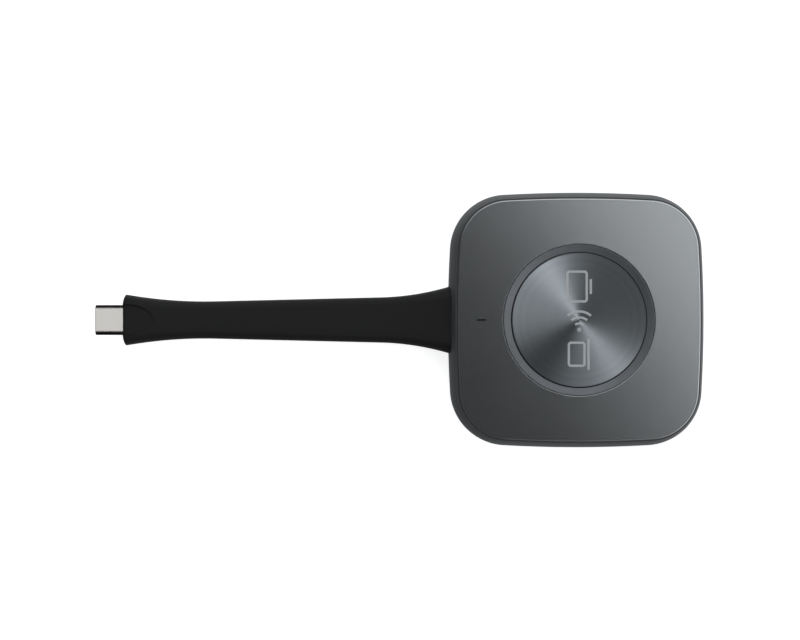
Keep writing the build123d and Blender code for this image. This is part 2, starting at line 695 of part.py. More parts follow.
with BuildPart() as cable_ferrule:
    with BuildSketch(Plane.YZ.offset(-24.5)):
        with Locations((0, STRAP_Z)):
            Circle(CABLE_RADIUS + 0.5)
            Circle(CABLE_RADIUS + 0.05, mode=Mode.SUBTRACT)
    extrude(amount=2.4)
write(cable_ferrule, "cable_ferrule")

with BuildPart() as board_socket:
    with BuildSketch(Plane.XY.offset(BOARD_TOP)):
        with Locations((-17.2, 0)):
            Rectangle(6.4, 8.4)
    extrude(amount=2.5)
    with BuildSketch(Plane.YZ.offset(-21)):
        with Locations((0, 7.3)):
            Rectangle(7.2, 1.7)
    extrude(amount=6, mode=Mode.SUBTRACT)
write(board_socket, "board_socket")

with BuildPart() as cable_plug:
    with BuildSketch(Plane.YZ.offset(-CABLE_START)):
        with Locations((0, 7.3)):
            Rectangle(7.1, 1.6)
    extrude(amount=5.8)
write(cable_plug, "cable_plug")

# =====================================================================
# Plug
# =====================================================================

PLUG_REAR = 117.0
INSULATOR_REAR = 121.0


with BuildPart() as plug_shell:
    with BuildSketch(Plane.YZ.offset(-PLUG_TIP)):
        with Locations((0, STRAP_Z)):
            SlotOverall(PLUG_WIDE, PLUG_HIGH)
    extrude(amount=PLUG_TIP - PLUG_REAR)
    fillet(plug_shell.faces().sort_by(Axis.X)[0].edges(), 0.15)
    with BuildSketch(Plane.YZ.offset(-PLUG_TIP - 1)):
        with Locations((0, STRAP_Z)):
            SlotOverall(PLUG_WIDE - 2 * PLUG_WALL, PLUG_HIGH - 2 * PLUG_WALL)
    extrude(amount=PLUG_TIP - PLUG_REAR + 2, mode=Mode.SUBTRACT)
write(plug_shell, "plug_shell")

with BuildPart() as plug_insulator:
    with BuildSketch(Plane.YZ.offset(-PLUG_TIP + 0.25)):
        with Locations((0, STRAP_Z)):
            SlotOverall(PLUG_WIDE - 2 * PLUG_WALL - 0.04, PLUG_HIGH - 2 * PLUG_WALL - 0.04)
    extrude(amount=PLUG_TIP - 0.25 - INSULATOR_REAR)
    with BuildSketch(Plane.YZ.offset(-PLUG_TIP)):
        with Locations((0, STRAP_Z)):
            RectangleRounded(TONGUE_WIDE, TONGUE_HIGH, 0.3)
    extrude(amount=TONGUE_DEEP, mode=Mode.SUBTRACT)
write(plug_insulator, "plug_insulator")

with BuildPart() as plug_contacts:
    for side in (-1, 1):
        with BuildSketch(Plane.XY.offset(STRAP_Z + side * (TONGUE_HIGH / 2 - 0.05))):
            with Locations((-PLUG_TIP + 3.2, 0)):
                with GridLocations(0, 0.5, 1, 12):
                    Rectangle(4.4, 0.25)
        extrude(amount=0.045, both=True)
write(plug_contacts, "plug_contacts")

with BuildPart() as plug_latch_springs:
    with BuildSketch(Plane.XY.offset(STRAP_Z)):
        for side in (-1, 1):
            with BuildLine():
                outer_y = side * (TONGUE_WIDE / 2 - 0.06)
                inner_y = side * (TONGUE_WIDE / 2 - 0.36)
                Polyline((-PLUG_TIP + 1.0, outer_y), (-PLUG_TIP + 5.2, outer_y),
                         (-PLUG_TIP + 5.2, outer_y - side * 0.12), (-PLUG_TIP + 2.4, inner_y - side * 0.12),
                         (-PLUG_TIP + 1.6, inner_y - side * 0.12), (-PLUG_TIP + 1.0, outer_y - side * 0.12),
                         close=True)
            make_face()
    extrude(amount=0.3, both=True)
write(plug_latch_springs, "plug_latch_springs")

with BuildPart() as plug_board:
    with BuildSketch(Plane.XY.offset(STRAP_Z - 0.35)):
        with Locations((-(INSULATOR_REAR + 113.4) / 2 + 0.05, 0)):
            Rectangle(INSULATOR_REAR - 113.4 - 0.2, 7.0)
    extrude(amount=0.7)
write(plug_board, "plug_board")

block("plug_chip", -115.6, 0, STRAP_Z + 0.35, 2.0, 2.0, 0.6, 0.08)

with BuildPart() as plug_inner_mould:
    with BuildSketch(Plane.YZ.offset(-CORE_TO + 0.05)):
        with Locations((0, STRAP_Z)):
            RectangleRounded(9.5, 4.3, 1.15)
    extrude(amount=CORE_TO - CORE_FROM - 0.1)
    with BuildSketch(Plane.YZ.offset(-CORE_TO)):
        with Locations((0, STRAP_Z)):
            SlotOverall(PLUG_WIDE + 0.04, PLUG_HIGH + 0.04)
    extrude(amount=CORE_TO - 113.0, mode=Mode.SUBTRACT)
    with BuildSketch(Plane.YZ.offset(-114)):
        with Locations((0, STRAP_Z)):
            Circle(CABLE_RADIUS + 0.05)
    extrude(amount=5, mode=Mode.SUBTRACT)
write(plug_inner_mould, "plug_inner_mould")
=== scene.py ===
"""Finishes, strap, lead, mark and studio for a wireless screen-sharing puck, laid out as an add-on.

The CAD frame is loaded first, and sizes come from it. New pieces are surfaces worked out with numpy.
"""

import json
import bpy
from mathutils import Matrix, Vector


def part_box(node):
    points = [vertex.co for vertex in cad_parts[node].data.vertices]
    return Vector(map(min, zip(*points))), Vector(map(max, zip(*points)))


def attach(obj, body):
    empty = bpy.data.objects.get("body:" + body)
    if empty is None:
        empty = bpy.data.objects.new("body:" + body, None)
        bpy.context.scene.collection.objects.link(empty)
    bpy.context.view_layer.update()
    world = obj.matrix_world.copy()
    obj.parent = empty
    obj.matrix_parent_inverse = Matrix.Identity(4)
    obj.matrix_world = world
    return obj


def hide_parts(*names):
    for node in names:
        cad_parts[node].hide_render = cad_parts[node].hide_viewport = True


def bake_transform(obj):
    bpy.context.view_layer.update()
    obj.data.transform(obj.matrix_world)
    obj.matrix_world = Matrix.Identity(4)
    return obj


bl_info = {
    "name": "Sharing Puck",
    "version": (1, 0, 0),
    "blender": (4, 5, 0),
    "location": "3D View > Sidebar > Puck",
    "description": "Finishes, strap and studio for a wireless screen-sharing puck",
    "category": "Object",
}

from math import pi, radians

import bpy
import numpy as np
from bpy.props import FloatProperty, FloatVectorProperty, PointerProperty
from mathutils import Vector

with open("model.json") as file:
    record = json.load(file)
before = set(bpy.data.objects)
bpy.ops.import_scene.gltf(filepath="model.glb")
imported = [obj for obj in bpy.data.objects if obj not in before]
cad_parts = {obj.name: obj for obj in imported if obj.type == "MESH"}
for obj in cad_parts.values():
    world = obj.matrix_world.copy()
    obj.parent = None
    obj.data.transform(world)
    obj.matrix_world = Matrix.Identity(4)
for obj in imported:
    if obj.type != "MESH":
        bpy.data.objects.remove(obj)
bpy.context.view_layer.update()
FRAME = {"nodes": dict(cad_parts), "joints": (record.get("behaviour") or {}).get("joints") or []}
NODES = FRAME["nodes"]
JOINTS = {joint["name"]: joint for joint in FRAME["joints"]}

# Places read from the frame, in metres.
PLUG_LOW, PLUG_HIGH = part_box("plug_shell")
CAP_LOW, CAP_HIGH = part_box("button_cap")
STRAP_LOW, STRAP_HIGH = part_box("strap")
CABLE_LOW, CABLE_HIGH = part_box("inner_cable")
PLATE_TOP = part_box("top_plate")[1].z
STRAP_ROOT = -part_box("lower_shell")[0].x
STRAP_Z = (PLUG_LOW.z + PLUG_HIGH.z) / 2
ROOT_HINGE = Vector(JOINTS["strap_flex"]["pos_m"])
TIP_HINGE = Vector(JOINTS["plug_flex"]["pos_m"])

# The strap is drawn in two lengths that meet halfway between the hinges.
STRAP_MIDDLE = -(ROOT_HINGE.x + TIP_HINGE.x) / 2
NOSE_DEPTH = 0.0008
STRAP_FRONT = -STRAP_LOW.x - NOSE_DEPTH

# The spun disc: how far its grooves are apart, how far their flanks lean, as a slope, and how
# quickly one flank turns into the next. The face as a whole leans towards FACE_LEAN_TOWARD, and
# its inner flanks are steeper than its outer ones by twice FLANK_BIAS.
GROOVE_PITCH = 0.00011
FLANK_SLOPE = (0.30, 0.60)
FLANK_STEEPNESS = 1.8
FLANK_BIAS = 0.06
FACE_LEAN = 0.042
FACE_LEAN_TOWARD = radians(35)

# A face at a known height counts as found within this distance.
LEVEL_SLACK = 0.00001
# Height of the bright band that the plate's cut chamfers take up.
CHAMFER_BAND = 0.00021


# ---------------------------------------------------------------------------
# Settings
# ---------------------------------------------------------------------------

def length_setting(name, description, default):
    """A length in metres, for a property group."""
    return FloatProperty(name=name, description=description, default=default, unit="LENGTH",
                         precision=5)


def colour_setting(name, description, default):
    """A linear colour, for a property group."""
    return FloatVectorProperty(name=name, description=description, default=default, size=3,
                               subtype="COLOR", min=0, max=1)


class StrapSizes(bpy.types.PropertyGroup):
    """Sizes of the moulded strap."""

    waist_width: length_setting("Waist width", "Width of the straight taper, carried back to the wall",
                                0.01325)
    taper: FloatProperty(name="Taper", description="Loss of width for each unit of length",
                         default=0.0477)
    root_flare: length_setting("Root flare", "Width that the strap gains at the puck", 0.0049)
    root_flare_long: length_setting("Root flare length", "How far the root's flare runs", 0.0185)
    tip_flare: length_setting("Boot flare", "Width that the strap gains at the boot's front", 0.005)
    tip_flare_long: length_setting("Boot flare length", "How far the boot's flare runs", 0.0248)
    waist_thick: length_setting("Waist thickness", "Thickness of the strap between its ends", 0.0046)
    root_thicken: length_setting("Root thickening", "Thickness gained at the puck", 0.0024)
    tip_thicken: length_setting("Boot thickening", "Thickness gained at the boot", 0.0022)
    nose: length_setting("Nose", "How far the boot's front bulges", 0.0004)


class MarkSettings(bpy.types.PropertyGroup):
    """The row of signs on the disc."""

    stroke: length_setting("Stroke", "Width of the printed lines", 0.00062)
    ink: colour_setting("Ink", "Colour of the print", (0.62, 0.64, 0.66))


class FinishColours(bpy.types.PropertyGroup):
    """Colours of what shows, as linear values."""

    plate: colour_setting("Plate", "Anodised metal plate", (0.207, 0.219, 0.227))
    chamfer: colour_setting("Cut edges", "Bright cut chamfers of the plate", (0.90, 0.92, 0.93))
    disc: colour_setting("Disc", "Spun metal disc", (0.265, 0.288, 0.307))
    ring: colour_setting("Light ring", "Smoked ring round the disc", (0.160, 0.170, 0.182))
    shell: colour_setting("Shell", "Painted plastic of the shell and frame", (0.062, 0.068, 0.072))
    strap: colour_setting("Strap", "Black elastomer", (0.0095, 0.0095, 0.0095))
    nickel: colour_setting("Nickel", "Plated shell of the plug", (0.70, 0.68, 0.65))


def strength_setting(name, description, default, **limits):
    """A power or a brightness, for a property group."""
    return FloatProperty(name=name, description=description, default=default, **limits)


class StudioSettings(bpy.types.PropertyGroup):
    """Camera and lights."""

    camera_x: length_setting("Camera X", "Where the camera stands along the object", -0.0482)
    camera_z: length_setting("Camera height", "Height of the camera above the table", 0.395)
    lens: FloatProperty(name="Lens", description="Focal length in millimetres", default=63.6, min=20,
                        max=200)
    strip: strength_setting("Strip light", "Power of the long soft box, in watts", 3.94, min=0)
    card: strength_setting("Plug card", "Power of the small card over the plug, in watts", 0.055, min=0)
    overhead: strength_setting("Overhead", "Brightness of the room overhead", 0.05, min=0)
    side_light: strength_setting("Sides", "Brightness of the room round the horizon", 0.31, min=0)
    side_right: strength_setting("More at the right", "Extra brightness towards +X", 0.38)
    side_back: strength_setting("More at the back", "Extra brightness towards +Y", 0.28)
    panel: strength_setting("Back panel", "Brightness of the broad panel at the back left", 0.7, min=0)
    front_panel: strength_setting("Front panel", "Brightness of the one at the front", 0.42, min=0)
    floor_glow: strength_setting("Floor glow", "How brightly the lit floor shines", 0.80, min=0)


# ---------------------------------------------------------------------------
# Shader maths
# ---------------------------------------------------------------------------

class Value:
    """A socket of a node tree. Python's operators on it add Math nodes."""

    def __init__(self, tree, socket):
        self.tree = tree
        self.socket = socket

    def maths(self, operation, *values, clamp=False):
        """One Math node on these values, as a new Value."""
        inputs = dict(enumerate(values))
        return self.tree.node("ShaderNodeMath", {"operation": operation, "use_clamp": clamp}, inputs)

    def __add__(self, other):
        return self.maths("ADD", self, other)

    def __radd__(self, other):
        return self.maths("ADD", other, self)

    def __sub__(self, other):
        return self.maths("SUBTRACT", self, other)

    def __rsub__(self, other):
        return self.maths("SUBTRACT", other, self)

    def __mul__(self, other):
        return self.maths("MULTIPLY", self, other)

    def __rmul__(self, other):
        return self.maths("MULTIPLY", other, self)

    def __truediv__(self, other):
        return self.maths("DIVIDE", self, other)

    def __pow__(self, other):
        return self.maths("POWER", self, other)

    def __gt__(self, other):
        return self.maths("GREATER_THAN", self, other)

    def clamped(self):
        """The value kept between 0 and 1."""
        return self.maths("ADD", self, 0.0, clamp=True)


class Tree:
    """A node tree, and the values that are worked out in it."""

    def __init__(self, nodes_and_links):
        self.nodes = nodes_and_links.nodes
        self.links = nodes_and_links.links

    def connect(self, value, socket):
        """Links a Value to a socket, or sets the socket to a plain number or colour."""
        if isinstance(value, Value):
            self.links.new(value.socket, socket)
        else:
            socket.default_value = value

    def node(self, kind, settings=None, inputs=None, output=0):
        """Adds a node: its settings first, then its sockets' values or links. Returns one output."""
        added = self.nodes.new(kind)
        for key, value in (settings or {}).items():
            setattr(added, key, value)
        for key, value in (inputs or {}).items():
            self.connect(value, added.inputs[key])
        return Value(self, added.outputs[output])

    def place(self, centre=(0, 0, 0), scale=(1, 1, 1)):
        """The point being shaded, in metres from centre, each axis multiplied by scale."""
        point = self.node("ShaderNodeTexCoord", output="Object")
        shift = tuple(-c * s for c, s in zip(centre, scale))
        return self.node("ShaderNodeMapping",
                         inputs={"Vector": point, "Location": shift, "Scale": scale})

    def parts(self, vector):
        """The three numbers of a vector."""
        split = self.nodes.new("ShaderNodeSeparateXYZ")
        self.links.new(vector.socket, split.inputs[0])
        return [Value(self, output) for output in split.outputs]

    def noise(self, size, stretch=(1, 1, 1), detail=3.0, rough=0.55):
        """Noise whose lumps are about size metres across, as a value round 0.5."""
        scale = tuple(s / size for s in stretch)
        return self.node("ShaderNodeTexNoise", {"noise_dimensions": "3D"},
                         {"Vector": self.place(scale=scale), "Scale": 1.0, "Detail": detail,
                          "Roughness": rough})

    def noise_along(self, value, per_metre, detail, rough):
        """Noise along one value in metres, with about this many lumps to the metre."""
        return self.node("ShaderNodeTexNoise", {"noise_dimensions": "1D"},
                         {"W": value * per_metre, "Scale": 1.0, "Detail": detail, "Roughness": rough})

    def fade(self, value, start, end):
        """A smooth step from 0 where the value is start to 1 where it is end."""
        return self.node("ShaderNodeMapRange", {"interpolation_type": "SMOOTHSTEP"},
                         {"Value": value, "From Min": start, "From Max": end, "To Min": 0.0,
                          "To Max": 1.0})

    def mix(self, share, low, high):
        """A colour between low and high."""
        low = low if isinstance(low, Value) else (*low, 1.0)
        high = high if isinstance(high, Value) else (*high, 1.0)
        mixer = self.nodes.new("ShaderNodeMix")
        mixer.data_type = "RGBA"
        colours = [socket for socket in mixer.inputs if socket.type == "RGBA"]
        for socket, value in zip((mixer.inputs[0], *colours), (share, low, high)):
            self.connect(value, socket)
        return Value(self, next(socket for socket in mixer.outputs if socket.type == "RGBA"))

    def shades(self, share, base, spread):
        """base made darker and lighter by spread, by a value from 0 to 1."""
        low = tuple(c * (1 - spread) for c in base)
        high = tuple(min(1.0, c * (1 + spread)) for c in base)
        return self.mix(share, low, high)


class Finish(Tree):
    """A material with one Principled shader, whose constants are set on its own sockets."""

    def __init__(self, name, **constants):
        self.material = bpy.data.materials.new(name)
        self.material.use_nodes = True
        super().__init__(self.material.node_tree)
        self.shader = self.nodes["Principled BSDF"]
        for socket, value in constants.items():
            target = self.shader.inputs[socket.replace("_", " ")]
            if hasattr(target.default_value, "__len__") and len(target.default_value) == 4:
                value = (*value, 1.0)
            target.default_value = value
        self.material.diffuse_color = self.shader.inputs["Base Color"].default_value

    def feed(self, **links):
        """Links values to the shader's sockets."""
        for socket, value in links.items():
            self.links.new(value.socket, self.shader.inputs[socket.replace("_", " ")])
        return self

    def bump(self, height, depth, strength=1.0):
        """Surface relief: height from 0 to 1 stands for depth metres."""
        relief = self.node("ShaderNodeBump", inputs={"Height": height, "Distance": depth,
                                                     "Strength": strength}, output="Normal")
        return self.feed(Normal=relief)


def paint(finish, *names):
    """Gives CAD nodes a finish, through their own material slots."""
    for name in names:
        slots = NODES[name].data.materials
        if len(slots):
            for index in range(len(slots)):
                slots[index] = finish.material
        else:
            slots.append(finish.material)


# ---------------------------------------------------------------------------
# Finishes
# ---------------------------------------------------------------------------

def anodised_plate(colours):
    """Bead-blasted and anodised metal, with bright cut chamfers at the rim and at the well."""
    finish = Finish("anodised_plate", Metallic=1.0, Roughness=0.24)
    height = finish.parts(finish.place())[2]
    below_top = (PLATE_TOP - LEVEL_SLACK - height) > 0.0
    chamfer_band = below_top * (height > PLATE_TOP - CHAMFER_BAND)
    grain = finish.noise(0.00022, detail=2.0)
    cloud = finish.noise(0.02, detail=2.0)
    body = finish.shades(0.75 * grain + 0.25 * cloud, tuple(colours.plate), 0.10)
    finish.feed(Base_Color=finish.mix(chamfer_band, body, tuple(colours.chamfer)))
    finish.feed(Roughness=0.20 + 0.05 * grain + 0.03 * cloud)
    return finish.bump(grain * (1 - chamfer_band), 0.000012, 0.6)


def spun_disc(colours):
    """Metal turned on a lathe: fine round grooves that spread highlights across themselves.

    The surface leans to and from the middle by a sine of the radius, cut off at both ends so that
    most of each groove is flank. How far the flanks lean drifts from groove to groove, and is
    bounded, as a real groove's slope is. The slopes are added to the normal of the level face.
    """
    middle = ((CAP_LOW.x + CAP_HIGH.x) / 2, (CAP_LOW.y + CAP_HIGH.y) / 2, 0)
    finish = Finish("spun_disc", Metallic=1.0, Roughness=0.3)
    x, y, z = finish.parts(finish.place(middle))
    radius = (x * x + y * y) ** 0.5 + LEVEL_SLACK
    rings = finish.noise_along(radius, 7000.0, 3.0, 0.6)
    broad = finish.noise_along(radius, 900.0, 2.0, 0.5)
    face = z > CAP_HIGH.z - LEVEL_SLACK
    wave = (radius * (2 * pi / GROOVE_PITCH)).maths("SINE") * FLANK_STEEPNESS
    groove = ((0.5 + 0.5 * wave).clamped() * 2.0 - 1.0) * face
    least, most = FLANK_SLOPE
    outward = (groove * (least + (most - least) * rings) - FLANK_BIAS * face) / radius
    lean_x = FACE_LEAN * np.cos(FACE_LEAN_TOWARD) * face
    lean_y = FACE_LEAN * np.sin(FACE_LEAN_TOWARD) * face
    slope = finish.node("ShaderNodeCombineXYZ",
                        inputs={0: x * outward + lean_x, 1: y * outward + lean_y, 2: 0.0})
    level = finish.node("ShaderNodeNewGeometry", output="Normal")
    leaning = finish.node("ShaderNodeVectorMath", {"operation": "ADD"}, {0: level, 1: slope})
    normal = finish.node("ShaderNodeVectorMath", {"operation": "NORMALIZE"}, {0: leaning})
    finish.feed(Base_Color=finish.shades(0.6 * rings + 0.4 * broad, tuple(colours.disc), 0.16))
    return finish.feed(Roughness=0.33 + 0.05 * rings, Normal=normal)


def smoked_ring(colours):
    """Satin metallised plastic that hides the lights under it."""
    finish = Finish("smoked_ring", Metallic=1.0, Roughness=0.45)
    haze = finish.noise(0.004, detail=2.0)
    fine = finish.noise(0.0003, detail=2.0)
    finish.feed(Base_Color=finish.shades(haze, tuple(colours.ring), 0.12),
                Roughness=0.38 + 0.06 * fine)
    return finish.bump(fine, 0.000006, 0.5)


def shell_paint(colours):
    """Soft-touch painted plastic with a very fine orange peel."""
    finish = Finish("shell_paint", Roughness=0.38, IOR=1.5)
    peel = finish.noise(0.0005, detail=2.0)
    drift = finish.noise(0.012, detail=2.0)
    finish.feed(Base_Color=finish.shades(0.5 * peel + 0.5 * drift, tuple(colours.shell), 0.10),
                Roughness=0.34 + 0.08 * peel + 0.04 * drift)
    return finish.bump(peel, 0.000012, 0.5)


def elastomer(name, colour, roughness=0.55, grain=0.00018, depth=0.000018):
    """Matt moulded rubber: a fine spark-eroded grain, and lighter drifts of dust and touch."""
    finish = Finish(name, Roughness=roughness, IOR=1.45, Specular_IOR_Level=0.34,
                    Sheen_Weight=0.06, Sheen_Roughness=0.5)
    pits = finish.noise(grain, detail=3.0, rough=0.6)
    touch = finish.noise(0.006, stretch=(0.5, 1, 1), detail=3.0)
    finish.feed(Base_Color=finish.shades(0.6 * touch + 0.4 * pits, colour, 0.22),
                Roughness=roughness - 0.05 + 0.12 * pits + 0.05 * touch)
    return finish.bump(pits, depth, 0.7)


def nickel_plate(colours):
    """Drawn and nickel-plated steel with faint lines along the plug."""
    finish = Finish("nickel_plate", Metallic=1.0, Roughness=0.22)
    lines = finish.noise(0.00035, stretch=(0.06, 1, 1), detail=3.0)
    cloud = finish.noise(0.003, detail=2.0)
    finish.feed(Base_Color=finish.shades(0.5 * lines + 0.5 * cloud, tuple(colours.nickel), 0.07),
                Roughness=0.18 + 0.10 * lines + 0.04 * cloud)
    return finish.bump(lines, 0.000004, 0.4)


def metal(name, colour, roughness=0.35, grain=0.0004, stretch=(1, 1, 1), spread=0.12):
    """Plain worked metal with a rolled or drawn grain."""
    finish = Finish(name, Metallic=1.0, Roughness=roughness)
    streak = finish.noise(grain, stretch=stretch, detail=3.0)
    finish.feed(Base_Color=finish.shades(streak, colour, spread),
                Roughness=roughness - 0.06 + 0.12 * streak)
    return finish.bump(streak, 0.000006, 0.5)


def moulded(name, colour, roughness=0.45, grain=0.0003, spread=0.12):
    """Plain moulded plastic with a fine texture."""
    finish = Finish(name, Roughness=roughness, IOR=1.5)
    texture = finish.noise(grain, detail=2.0)
    drift = finish.noise(0.004, detail=2.0)
    finish.feed(Base_Color=finish.shades(0.5 * texture + 0.5 * drift, colour, spread),
                Roughness=roughness - 0.05 + 0.10 * texture)
    return finish.bump(texture, 0.00001, 0.5)


def circuit_board():
    """Green solder mask over copper tracks, with bare copper at the cut edges."""
    finish = Finish("circuit_board", Roughness=0.35, IOR=1.5, Coat_Weight=0.3, Coat_Roughness=0.2)
    x, y, _ = finish.parts(finish.place())
    bend = finish.noise(0.006, detail=1.0)
    across = x * 1000 + 2.0 * bend
    along = y * 1000 - 2.0 * bend
    zone = finish.noise(0.009, detail=0.0) > 0.5
    tracks_x, tracks_y = (value.maths("PINGPONG", value, 0.5) > 0.34 for value in (across, along))
    track = zone * tracks_x + (1 - zone) * tracks_y
    finish.feed(Base_Color=finish.mix(track, (0.004, 0.060, 0.022), (0.012, 0.130, 0.050)),
                Roughness=0.32 + 0.10 * track)
    return finish.bump(track, 0.00002, 0.6)


# ---------------------------------------------------------------------------
# Surfaces
# ---------------------------------------------------------------------------

SHARP_DEGREES = 35.0


def show(name, mesh):
    """Puts a mesh into the scene as an object of its own at the origin."""
    piece = bpy.data.objects.new(name, mesh)
    bpy.context.scene.collection.objects.link(piece)
    return piece


def inside_out(points, triangles):
    """Whether a closed surface's triangles face inwards, by the sign of the volume they enclose."""
    a, b, c = (points[triangles[:, i]] for i in range(3))
    return (a * np.cross(b, c)).sum() < 0


def tube_mesh(name, rings):
    """A closed piece from rings of points, an array of (rings, points round, 3).

    Neighbouring rings are joined by quads and each end by a fan round its mean point, and the
    winding is turned, if need be, so that the faces point outwards.
    """
    count, around, _ = rings.shape
    points = np.concatenate([rings.reshape(-1, 3), rings[:1].mean(1), rings[-1:].mean(1)])
    ring = np.arange(count - 1)[:, None] * around
    step = np.arange(around)[None, :]
    following = (step + 1) % around
    quads = np.stack([ring + step, ring + following, ring + around + following,
                      ring + around + step], -1)
    first, last = count * around, count * around + 1
    edge = np.arange(around)
    start = np.stack([np.full(around, first), (edge + 1) % around, edge], -1)
    base = (count - 1) * around
    end = np.stack([np.full(around, last), base + edge, base + (edge + 1) % around], -1)
    faces = quads.reshape(-1, 4)
    triangles = np.concatenate([faces[:, :3], faces[:, [0, 2, 3]], start, end])
    if inside_out(points, triangles):
        faces, start, end = faces[:, ::-1], start[:, ::-1], end[:, ::-1]
    mesh = bpy.data.meshes.new(name)
    mesh.from_pydata(points.tolist(), [], faces.tolist() + start.tolist() + end.tolist())
    mesh.shade_smooth()
    mesh.set_sharp_from_angle(angle=radians(SHARP_DEGREES))
    return show(name, mesh)


def rounded_section(corner_steps, flat_steps, side_steps):
    """Once round a rounded rectangle, as four arrays: the share of the straight half-width and
    half-height that each point stands at, and the two parts of its outward normal.

    Four quarter circles, with the flats between them divided evenly.
    """
    pieces = []
    for quarter, (side_y, side_z) in enumerate(((1, 1), (-1, 1), (-1, -1), (1, -1))):
        angle = np.linspace(0, pi / 2, corner_steps, endpoint=False) + quarter * pi / 2
        ones = np.ones(corner_steps)
        pieces.append(np.stack([side_y * ones, side_z * ones, np.cos(angle), np.sin(angle)]))
        on_broad_side = quarter % 2 == 0
        steps = flat_steps if on_broad_side else side_steps
        along = np.linspace(1, -1, steps, endpoint=False)
        ones = np.ones(steps)
        run = [side_z * along, side_z * ones] if on_broad_side else [side_y * ones, -side_y * along]
        normal = (quarter + 1) * pi / 2
        pieces.append(np.stack([*run, np.cos(normal) * ones, np.sin(normal) * ones]))
    return np.concatenate(pieces, axis=1)


def flare(distance, long):
    """The square of what is left of a run of this length, from 1 at its start to 0 at its end."""
    return np.clip(1 - distance / long, 0, None) ** 2


# Fine features of the strap, in metres: how far its flats are crowned, the mould line's half-width
# and height, and the thumb pad's length and half-width.
CROWN = 0.00012
MOULD_LINE = (0.00012, 0.00004)
THUMB_PAD = (0.0082, 0.0042)


def strap_rings(sizes, from_x, to_x, count):
    """Rings of the strap between two distances from the puck's middle.

    The width is a straight taper with a flare at each end that falls off as the square of the
    distance, and the thickness does the same. The section is a rounded rectangle, nearly a
    stadium, whose flats are crowned. A fine mould line runs along both sides. In half an ellipse
    at the boot's front both flats are cut down to one level, as thumb pads.
    """
    x = np.linspace(from_x, to_x, count)[:, None]
    from_root = np.clip(x - STRAP_ROOT, 0, None)
    width = sizes.waist_width - sizes.taper * from_root
    width = width + sizes.root_flare * flare(from_root, sizes.root_flare_long)
    width = width + sizes.tip_flare * flare(STRAP_FRONT - x, sizes.tip_flare_long)
    thick = sizes.waist_thick + sizes.root_thicken * flare(from_root, sizes.root_flare_long)
    thick = thick + sizes.tip_thicken * flare(STRAP_FRONT - x, sizes.tip_flare_long)
    across, up, normal_y, normal_z = rounded_section(14, 64, 4)
    radius = 0.42 * thick
    y = across * (width / 2 - radius) + normal_y * radius
    z = up * (thick / 2 - radius) + normal_z * radius
    crown = CROWN * (1 - np.clip(np.abs(y) / (width / 2), 0, 1) ** 2)
    z = z + np.sign(normal_z) * normal_z ** 2 * crown
    line_half_wide, line_height = MOULD_LINE
    mould_line = np.exp(-((z / line_half_wide) ** 2)) * (np.abs(normal_y) > 0.9)
    y = y + np.sign(normal_y) * mould_line * line_height
    pad_long, pad_half_wide = THUMB_PAD
    reach = np.sqrt((np.clip(STRAP_FRONT - x, 0, None) / pad_long) ** 2 + (y / pad_half_wide) ** 2)
    inside = np.clip((1.04 - reach) / 0.10, 0, 1)
    inside = inside * inside * (3 - 2 * inside) * (np.abs(normal_z) > 0.99)
    level = (sizes.waist_thick + sizes.tip_thicken * flare(pad_long, sizes.tip_flare_long)) / 2
    z = np.sign(normal_z) * (np.abs(z) - inside * np.clip(np.abs(z) - level, 0, None))
    return np.stack([-x + 0 * y, y, STRAP_Z + z], -1)


def nose_rings(sizes, ring, count):
    """Rings that close the boot's front.

    From the last ring of the strap the section shrinks by a quarter of an ellipse, edge inwards
    and edge_depth forwards, and the face inside it bulges forward by a cubic across its width.
    """
    middle = np.array([0.0, STRAP_Z])
    half = np.abs(ring[:, 1]).max()
    edge, edge_depth = 0.0007, 0.000315
    turn = np.linspace(0, pi / 2, count)[1:, None]
    outward = ring[None, :, 1:] - middle
    size = np.linalg.norm(outward, axis=-1)
    shrink = 1 - edge * (1 - np.cos(turn)) / size
    rounded = outward * shrink[..., None]

    def bulge(y):
        return sizes.nose * (1 - np.clip(np.abs(y) / half, 0, 1) ** 3)

    forward = ring[None, :, 0] - edge_depth * np.sin(turn) - bulge(rounded[..., 0]) * np.sin(turn)
    rings = [np.concatenate([forward[..., None], middle + rounded], -1)]
    for share in (0.8, 0.55, 0.3):
        flat = rounded[-1] * share
        face_x = ring[:, 0] - edge_depth - bulge(flat[:, 0])
        rings.append(np.concatenate([face_x[:, None], middle + flat], -1)[None])
    return np.concatenate(rings)


def rod_rings(from_x, to_x, radius, count, around=24):
    """Rings of a straight round rod along X at the strap's height."""
    x = np.linspace(from_x, to_x, count)[:, None]
    angle = np.linspace(0, 2 * pi, around, endpoint=False)[None, :]
    y, z = radius * np.cos(angle) + 0 * x, STRAP_Z + radius * np.sin(angle) + 0 * x
    return np.stack([-x + 0 * angle, y, z], -1)


def line_rings(path, half_wide, low, high, closed=True):
    """Rings of a flat bar of rectangular section carried along a path in the XY plane.

    Each path point gives four corners: in and out along the path's normal by half_wide, at the
    low and the high face.
    """
    ahead = np.roll(path, -1, 0) - np.roll(path, 1, 0) if closed else np.gradient(path, axis=0)
    ahead = ahead / np.linalg.norm(ahead, axis=1)[:, None]
    normal = np.stack([ahead[:, 1], -ahead[:, 0]], -1)
    corners = []
    for side, height in ((-1, low), (1, low), (1, high), (-1, high)):
        edge = path + side * half_wide * normal
        corners.append(np.concatenate([edge, np.full((len(path), 1), height)], -1))
    return np.stack(corners, 1)


